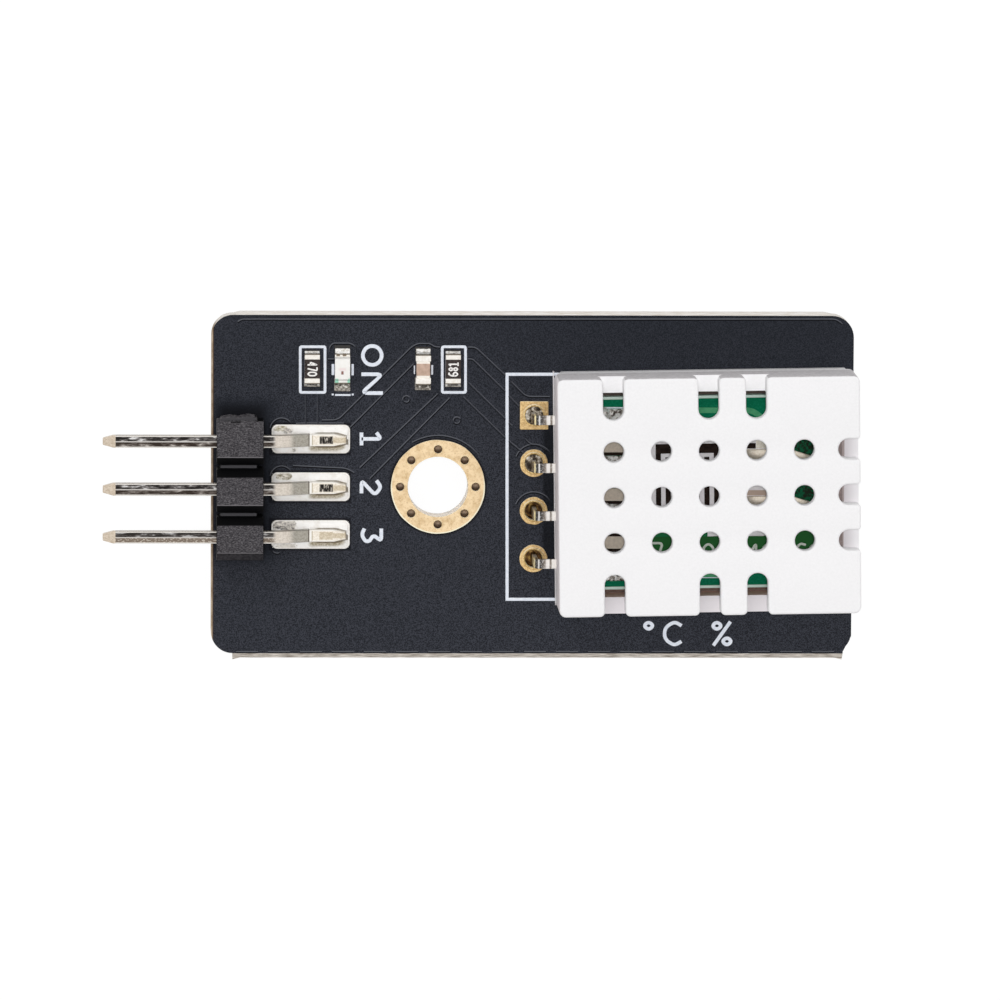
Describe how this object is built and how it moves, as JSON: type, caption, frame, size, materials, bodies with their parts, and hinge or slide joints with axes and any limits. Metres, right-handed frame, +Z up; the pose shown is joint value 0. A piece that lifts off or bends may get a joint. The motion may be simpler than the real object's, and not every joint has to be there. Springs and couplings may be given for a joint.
{
  "type": "temperature humidity sensor module",
  "caption": "Circuit board module with a white grille-fronted temperature and humidity sensor, a flat-soldered pin header and a gold-ringed mounting hole.",
  "frame": {"origin": "centre of the mounting hole, on the underside of the circuit board", "axes": "+X along the board from the pin header to the sensor, +Y across the board towards the row of chips, +Z up out of the component side"},
  "size_m": [0.0398, 0.0186, 0.0083],
  "materials": {
    "board_mask": "satin black mask over laminate",
    "gold_plating": "matte gold plating",
    "solder": "bright solder",
    "pin_metal": "tin-plated brass",
    "black_plastic": "moulded, rough",
    "white_plastic": "moulded, fine matte",
    "green_board": "green mask over laminate",
    "white_ceramic": "fired ceramic",
    "chip_coat": "dark glaze",
    "chip_metal": "tin-plated",
    "capacitor_ceramic": "brown ceramic",
    "led_resin": "clear to milky resin",
    "led_chip": "semiconductor die",
    "electrode": "printed carbon",
    "controller_plastic": "moulded epoxy"
  },
  "bodies": {
    "root": {"circuit_board": "board_mask", "mounting_ring": "gold_plating", "sensor_pad_1": "gold_plating", "sensor_pad_2": "gold_plating", "sensor_pad_3": "gold_plating", "sensor_pad_4": "gold_plating", "header_housing": "black_plastic", "header_pad_1": "chip_metal", "header_pin_1": "pin_metal", "header_solder_1": "solder", "header_pad_2": "chip_metal", "header_pin_2": "pin_metal", "header_solder_2": "solder", "header_pad_3": "chip_metal", "header_pin_3": "pin_metal", "header_solder_3": "solder", "chip_pads": "chip_metal", "resistor_1_body": "white_ceramic", "resistor_1_coat": "chip_coat", "resistor_1_ends": "chip_metal", "resistor_1_solder": "solder", "resistor_2_body": "white_ceramic", "resistor_2_coat": "chip_coat", "resistor_2_ends": "chip_metal", "resistor_2_solder": "solder", "capacitor_body": "capacitor_ceramic", "capacitor_ends": "chip_metal", "capacitor_solder": "solder", "led_board": "white_ceramic", "led_die": "led_chip", "led_lens": "led_resin", "led_ends": "chip_metal", "led_solder": "solder", "sensor_cover": "white_plastic", "sensor_base": "white_plastic", "sensor_board": "green_board", "humidity_element": "white_ceramic", "humidity_electrodes": "electrode", "humidity_leads": "pin_metal", "thermistor_body": "chip_coat", "thermistor_ends": "chip_metal", "controller_body": "controller_plastic", "controller_legs": "chip_metal", "sensor_pin_1": "pin_metal", "inner_joint_1": "solder", "pin_joint_1": "solder", "sensor_pin_2": "pin_metal", "inner_joint_2": "solder", "pin_joint_2": "solder", "sensor_pin_3": "pin_metal", "inner_joint_3": "solder", "pin_joint_3": "solder", "sensor_pin_4": "pin_metal", "inner_joint_4": "solder", "pin_joint_4": "solder"}
  },
  "joints": []
}
